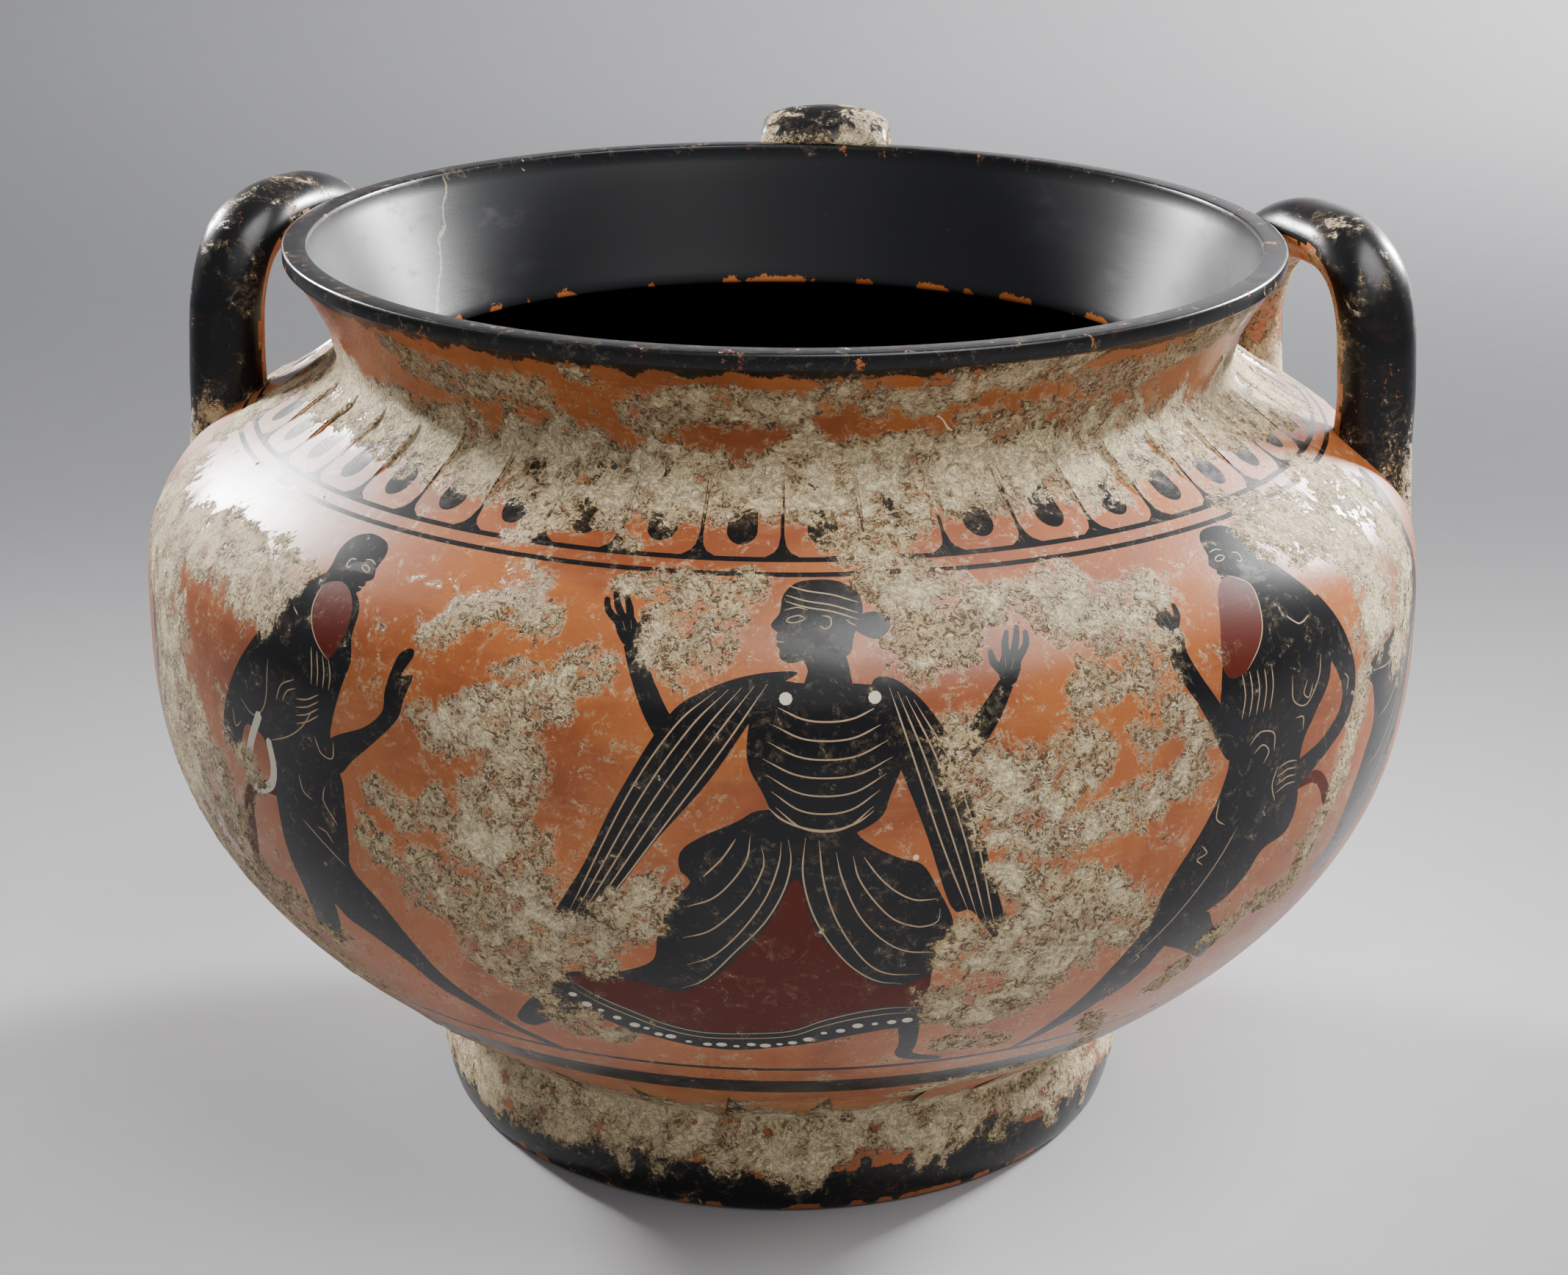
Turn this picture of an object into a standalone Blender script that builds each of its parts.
"""A wheel-thrown clay krater: a hollow bellied body on a ring foot, a flaring neck and three luted handles.

Metres, +Z up. The origin is on the standing surface under the axis of the vessel. An azimuth is counted
from -Y, the painted front, towards +X.
"""

import math

import bpy
from mathutils import Vector

# Ring foot
FOOT_RADIUS = 0.0772
FOOT_SWELL = 0.0022
FOOT_HEIGHT = 0.0222
FOOT_RING_WIDTH = 0.0125
FOOT_RECESS_DEPTH = 0.0185
FOOT_EDGE = 0.0012

# Body
BELLY_RADIUS = 0.140
BELLY_HEIGHT = 0.1158
WAIST_RADIUS = 0.0782
WAIST_RISE = 0.0018
LOWER_FULLNESS = 2.5
LOWER_TAPER = 1.11
SHOULDER_FULLNESS = 3.9
SHOULDER_TAPER = 1.9
WALL = 0.0060
FLOOR = 0.0085
BOWL_EDGE = 0.0080

# Neck and lip
RIM_HEIGHT = 0.1973
RIM_RADIUS = 0.1078
LIP_HEIGHT = 0.0036
LIP_WIDTH = 0.0052
LIP_STEP = 0.0009
LIP_EDGE = 0.0007
NECK_RADIUS = 0.0972
NECK_HEIGHT = 0.1738
NECK_CURVE = 1.5
NECK_WALL = 0.0085

# Side handles, upright loops on the shoulder. A turn swings the leg nearer the front outwards
RIGHT_AZIMUTH = math.radians(97)
RIGHT_TURN = math.radians(12)
LEFT_AZIMUTH = math.radians(-108)
LEFT_TURN = math.radians(4)
LOOP_SPAN = 0.0610
LOOP_ARCH_RISE = 0.0300
LOOP_FRONT_SQUARENESS = 3.2
LOOP_BACK_SQUARENESS = 1.9
LOOP_THICKNESS = 0.0140
LOOP_DEPTH = 0.0180
LOOP_CROWN_HEIGHT = 0.2030
LOOP_FRONT_RISE = 0.0010
LOOP_INSET = 0.0212
LOOP_LEAN = 0.0015
LOOP_ROOT_FLARE = 1.20
LOOP_ROOT_SINK = 0.0025

# Back handle, an upright strap from the lip to the shoulder
STRAP_AZIMUTH = math.radians(175)
STRAP_WIDTH = 0.0320
STRAP_THICKNESS = 0.0095
STRAP_CROWN_HEIGHT = 0.2052
STRAP_INSET = 0.0042
STRAP_ROOT_FLARE = 1.25
STRAP_ROOT_SINK = 0.0025
FLARE_SHARPNESS = 6

# Facets
TURN_STEPS = 64
LOWER_STEPS = 10
SHOULDER_STEPS = 11
NECK_STEPS = 4
LOOP_STEPS = 16
STRAP_STEPS = 16
SECTION_SIDES = 14
BOWL_STEPS = 4
FOOT_SIDE_STEPS = 4
CUTTER_MARGIN = 0.010
MERGE = 0.00001

SHARP_ANGLE = math.radians(35)

CLAY_COLOUR = (0.42, 0.17, 0.065, 1.0)
CLAY_ROUGHNESS = 0.46

WAIST_HEIGHT = FOOT_HEIGHT + WAIST_RISE


def clear_scene():
    for thing in list(bpy.data.objects):
        bpy.data.objects.remove(thing, do_unlink=True)


def steps(count):
    return [step / count for step in range(count + 1)]


def lower_radius(share):
    """Outer radius at a share of the way from the belly down to the waist above the foot."""
    fullness = (1 - share**LOWER_FULLNESS) ** LOWER_TAPER
    return WAIST_RADIUS + (BELLY_RADIUS - WAIST_RADIUS) * fullness


def shoulder_radius(share):
    """Outer radius at a share of the way from the belly up to the neck, where the shoulder turns upright."""
    fullness = (1 - share**SHOULDER_FULLNESS) ** SHOULDER_TAPER
    return NECK_RADIUS + (BELLY_RADIUS - NECK_RADIUS) * fullness


def lower_body():
    """Points from the belly down to the waist."""
    rise = BELLY_HEIGHT - WAIST_HEIGHT
    return [(lower_radius(share), BELLY_HEIGHT - rise * share) for share in steps(LOWER_STEPS)]


def shoulder():
    """Points from the neck's narrowest ring down to the belly."""
    rise = NECK_HEIGHT - BELLY_HEIGHT
    shares = [math.sin(math.pi / 2 * part) for part in reversed(steps(SHOULDER_STEPS))]
    return [(shoulder_radius(share), BELLY_HEIGHT + rise * share) for share in shares]


def neck():
    """The flaring neck, from the step under the lip down to its narrowest ring."""
    top = RIM_HEIGHT - LIP_HEIGHT
    reach = RIM_RADIUS - LIP_STEP - NECK_RADIUS
    shares = reversed(steps(NECK_STEPS)[1:])
    return [(NECK_RADIUS + reach * share**NECK_CURVE, NECK_HEIGHT + (top - NECK_HEIGHT) * share) for share in shares]


def lip():
    """The lip's flat top and its outer face, which overhangs the neck by a small step."""
    under = RIM_HEIGHT - LIP_HEIGHT
    return [
        (RIM_RADIUS - LIP_EDGE, RIM_HEIGHT),
        (RIM_RADIUS, RIM_HEIGHT - LIP_EDGE),
        (RIM_RADIUS, under + LIP_EDGE),
    ]


def foot():
    """The foot's swelling side and its hollow underside, from the waist down and in to the axis."""
    ring = FOOT_RADIUS - FOOT_RING_WIDTH
    shares = steps(FOOT_SIDE_STEPS)[:0:-1]
    return [
        *((FOOT_RADIUS + FOOT_SWELL * (1 - (2 * share - 1) ** 2), FOOT_HEIGHT * share) for share in shares),
        (FOOT_RADIUS, FOOT_EDGE),
        (FOOT_RADIUS - FOOT_EDGE, 0),
        (ring, 0),
        (ring - FOOT_EDGE, FOOT_EDGE),
        (ring - 2 * FOOT_EDGE, FOOT_RECESS_DEPTH - FOOT_EDGE),
        (ring - 3 * FOOT_EDGE, FOOT_RECESS_DEPTH),
        (0, FOOT_RECESS_DEPTH),
    ]


def outer_outline():
    """The whole outside of the vessel as if it were solid, from the axis above the lip down."""
    return [(0, RIM_HEIGHT), *lip(), *neck(), *shoulder(), *lower_body()[1:], *foot()]


def inset(points, thickness):
    """The points moved inwards by thickness, at right angles to the outline."""
    moved = []
    for index, (radius, height) in enumerate(points):
        before = points[max(index - 1, 0)]
        after = points[min(index + 1, len(points) - 1)]
        along = Vector((after[0] - before[0], after[1] - before[1])).normalized()
        moved.append((radius + along.y * thickness, height - along.x * thickness))
    return moved


def cavity_outline():
    """The hollow of the vessel, from above the open lip down to the middle of the floor."""
    floor = FOOT_RECESS_DEPTH + FLOOR
    bore = RIM_RADIUS - LIP_WIDTH
    throat = NECK_RADIUS - NECK_WALL
    throat_height = NECK_HEIGHT - NECK_WALL
    drop = RIM_HEIGHT - throat_height
    shares = reversed(steps(NECK_STEPS))
    flare = [(throat + (bore - throat) * share**NECK_CURVE, throat_height + drop * share) for share in shares]
    body = inset(shoulder() + lower_body()[1:], WALL)
    body = [point for point in body if point[0] > throat + WALL / 2 or point[1] < BELLY_HEIGHT]
    body = [point for point in body if point[1] > floor + BOWL_EDGE and point[1] < throat_height - WALL / 2]
    side_radius, side_height = body[-1]
    bowl = []
    for part in steps(BOWL_STEPS)[1:]:
        angle = math.pi / 2 * part
        bowl.append((side_radius * math.cos(angle), floor + (side_height - floor) * (1 - math.sin(angle))))
    above = (bore + CUTTER_MARGIN / 2, RIM_HEIGHT + CUTTER_MARGIN)
    return [(0, above[1]), above, *flare, *body, *bowl[:-1], (0, floor)]


def turned(name, outline):
    """A closed solid of revolution about Z, its outline running down the outside from axis to axis."""
    mesh = bpy.data.meshes.new(name)
    edges = [(index, index + 1) for index in range(len(outline) - 1)]
    mesh.from_pydata([(radius, 0, height) for radius, height in outline], edges, [])
    thing = bpy.data.objects.new(name, mesh)
    bpy.context.scene.collection.objects.link(thing)
    turn = thing.modifiers.new("turn", "SCREW")
    turn.steps = TURN_STEPS
    turn.render_steps = TURN_STEPS
    turn.use_merge_vertices = True
    turn.merge_threshold = MERGE
    return thing


def outline_height(radius):
    """Height of the shoulder's outer surface at a radius between the neck and the belly."""
    points = shoulder()
    for (r0, z0), (r1, z1) in zip(points, points[1:]):
        if r0 <= radius <= r1:
            return z0 + (z1 - z0) * (radius - r0) / (r1 - r0)
    return BELLY_HEIGHT


def radial(azimuth):
    return Vector((math.sin(azimuth), -math.cos(azimuth), 0))


def sideways(azimuth):
    return Vector((math.cos(azimuth), math.sin(azimuth), 0))


def swept(name, centres, across, widths, thicknesses):
    """A closed bar with an oval section. across is the direction in which widths are measured."""
    points = []
    for index, centre in enumerate(centres):
        before = centres[max(index - 1, 0)]
        after = centres[min(index + 1, len(centres) - 1)]
        along = (after - before).normalized()
        side = (across - along * across.dot(along)).normalized()
        normal = along.cross(side)
        for turn in range(SECTION_SIDES):
            angle = 2 * math.pi * turn / SECTION_SIDES
            out = side * math.cos(angle) * widths[index] / 2
            up = normal * math.sin(angle) * thicknesses[index] / 2
            points.append(centre + out + up)
    faces = [tuple(reversed(range(SECTION_SIDES)))]
    for ring in range(len(centres) - 1):
        start = ring * SECTION_SIDES
        for turn in range(SECTION_SIDES):
            following = (turn + 1) % SECTION_SIDES
            faces.append(
                (start + turn, start + following, start + following + SECTION_SIDES, start + turn + SECTION_SIDES)
            )
    last = (len(centres) - 1) * SECTION_SIDES
    faces.append(tuple(range(last, last + SECTION_SIDES)))
    mesh = bpy.data.meshes.new(name)
    mesh.from_pydata(points, [], faces)
    thing = bpy.data.objects.new(name, mesh)
    bpy.context.scene.collection.objects.link(thing)
    return thing


def root_flare(share, most):
    """Widening of a bar near its roots, most at either end and none at its middle."""
    return 1 + (most - 1) * abs(2 * share - 1) ** FLARE_SHARPNESS


def loop_handle(name, azimuth, turn):
    """An upright loop: two legs on the shoulder and an arch that is squarer towards the front."""
    front = -1 if azimuth > 0 else 1
    facing = azimuth - front * turn
    out = radial(facing)
    side = sideways(facing) * -front
    middle = radial(azimuth) * (BELLY_RADIUS - LOOP_INSET)
    half_span = LOOP_SPAN / 2
    crown = LOOP_CROWN_HEIGHT - LOOP_FRONT_RISE / 2 - LOOP_THICKNESS / 2
    spring = crown - LOOP_ARCH_RISE
    arch = []
    for part in steps(LOOP_STEPS):
        angle = math.pi * part
        power = 2 / (LOOP_FRONT_SQUARENESS if part < 0.5 else LOOP_BACK_SQUARENESS)
        along = -math.copysign(abs(math.cos(angle)) ** power, math.cos(angle))
        up = math.sin(angle) ** power if 0 < part < 1 else 0
        height = spring + LOOP_ARCH_RISE * up - LOOP_FRONT_RISE * along * up
        arch.append(middle + side * half_span * along - out * LOOP_LEAN * up + Vector((0, 0, height)))
    first, last = [leg_points(end, out) for end in (arch[0], arch[-1])]
    centres = first + arch + last[::-1]
    shares = [index / (len(centres) - 1) for index in range(len(centres))]
    widths = [LOOP_DEPTH * root_flare(share, LOOP_ROOT_FLARE) for share in shares]
    thicknesses = [LOOP_THICKNESS * root_flare(share, LOOP_ROOT_FLARE) for share in shares]
    return swept(name, centres, out, widths, thicknesses)


def leg_points(top, out):
    """Two points straight below an end of the arch, the lower one deep enough to bed the whole section."""
    bed = top + out * LOOP_DEPTH / 2 * LOOP_ROOT_FLARE
    root = outline_height(math.hypot(bed.x, bed.y)) - LOOP_ROOT_SINK
    return [Vector((top.x, top.y, height)) for height in (root, (root + top.z) / 2)]


def smooth_curve(knots, count):
    """Points along a Catmull-Rom curve through the knots."""
    padded = [knots[0] * 2 - knots[1], *knots, knots[-1] * 2 - knots[-2]]
    spans = len(knots) - 1
    points = []
    for step in range(count + 1):
        place = step / count * spans
        span = min(int(place), spans - 1)
        t = place - span
        a, b, c, d = padded[span : span + 4]
        points.append(0.5 * (2 * b + (c - a) * t + (2 * a - 5 * b + 4 * c - d) * t**2 + (3 * b - a - 3 * c + d) * t**3))
    return points


def strap_handle(name, azimuth):
    """An upright strap that leaves the neck under the lip, rises over it and comes down to the shoulder."""
    out = radial(azimuth)
    crown = STRAP_CROWN_HEIGHT - STRAP_THICKNESS / 2
    outer = BELLY_RADIUS - STRAP_INSET - STRAP_THICKNESS / 2
    inner = RIM_RADIUS - LIP_WIDTH / 2
    middle = (inner + outer) / 2
    root = outline_height(outer) - STRAP_ROOT_SINK
    knots = [
        (inner, RIM_HEIGHT - 2 * LIP_HEIGHT),
        (inner + STRAP_THICKNESS / 3, RIM_HEIGHT),
        (middle, crown),
        (outer - STRAP_THICKNESS / 4, RIM_HEIGHT - STRAP_THICKNESS / 3),
        (outer, (root + RIM_HEIGHT) / 2),
        (outer - STRAP_THICKNESS / 3, root),
    ]
    centres = smooth_curve([out * distance + Vector((0, 0, height)) for distance, height in knots], STRAP_STEPS)
    shares = [index / STRAP_STEPS for index in range(STRAP_STEPS + 1)]
    widths = [STRAP_WIDTH * (1 + (STRAP_ROOT_FLARE - 1) * share**FLARE_SHARPNESS) for share in shares]
    thicknesses = [STRAP_THICKNESS] * (STRAP_STEPS + 1)
    return swept(name, centres, sideways(azimuth), widths, thicknesses)


def clay():
    material = bpy.data.materials.new("fired_clay")
    material.use_nodes = True
    shader = material.node_tree.nodes["Principled BSDF"]
    shader.inputs["Base Color"].default_value = CLAY_COLOUR
    shader.inputs["Roughness"].default_value = CLAY_ROUGHNESS
    shader.inputs["Metallic"].default_value = 0
    return material


def combine(thing, other, operation):
    """Joins other to thing, or cuts it away, and keeps other as a hidden guide."""
    change = thing.modifiers.new(other.name, "BOOLEAN")
    change.operation = operation
    change.solver = "EXACT"
    change.object = other
    other.hide_render = True
    other.display_type = "WIRE"
    other.parent = thing


def finish(thing):
    """Keeps the joined shape as the object's own mesh, smooth but for its real edges."""
    shape = thing.evaluated_get(bpy.context.evaluated_depsgraph_get())
    mesh = bpy.data.meshes.new_from_object(shape)
    thing.modifiers.clear()
    thing.data = mesh
    mesh.shade_smooth()
    mesh.set_sharp_from_angle(angle=SHARP_ANGLE)


def main():
    clear_scene()
    krater = turned("krater", outer_outline())
    krater.data.materials.append(clay())
    combine(krater, loop_handle("right_handle", RIGHT_AZIMUTH, RIGHT_TURN), "UNION")
    combine(krater, loop_handle("left_handle", LEFT_AZIMUTH, LEFT_TURN), "UNION")
    combine(krater, strap_handle("back_handle", STRAP_AZIMUTH), "UNION")
    combine(krater, turned("cavity", cavity_outline()), "DIFFERENCE")
    finish(krater)


main()
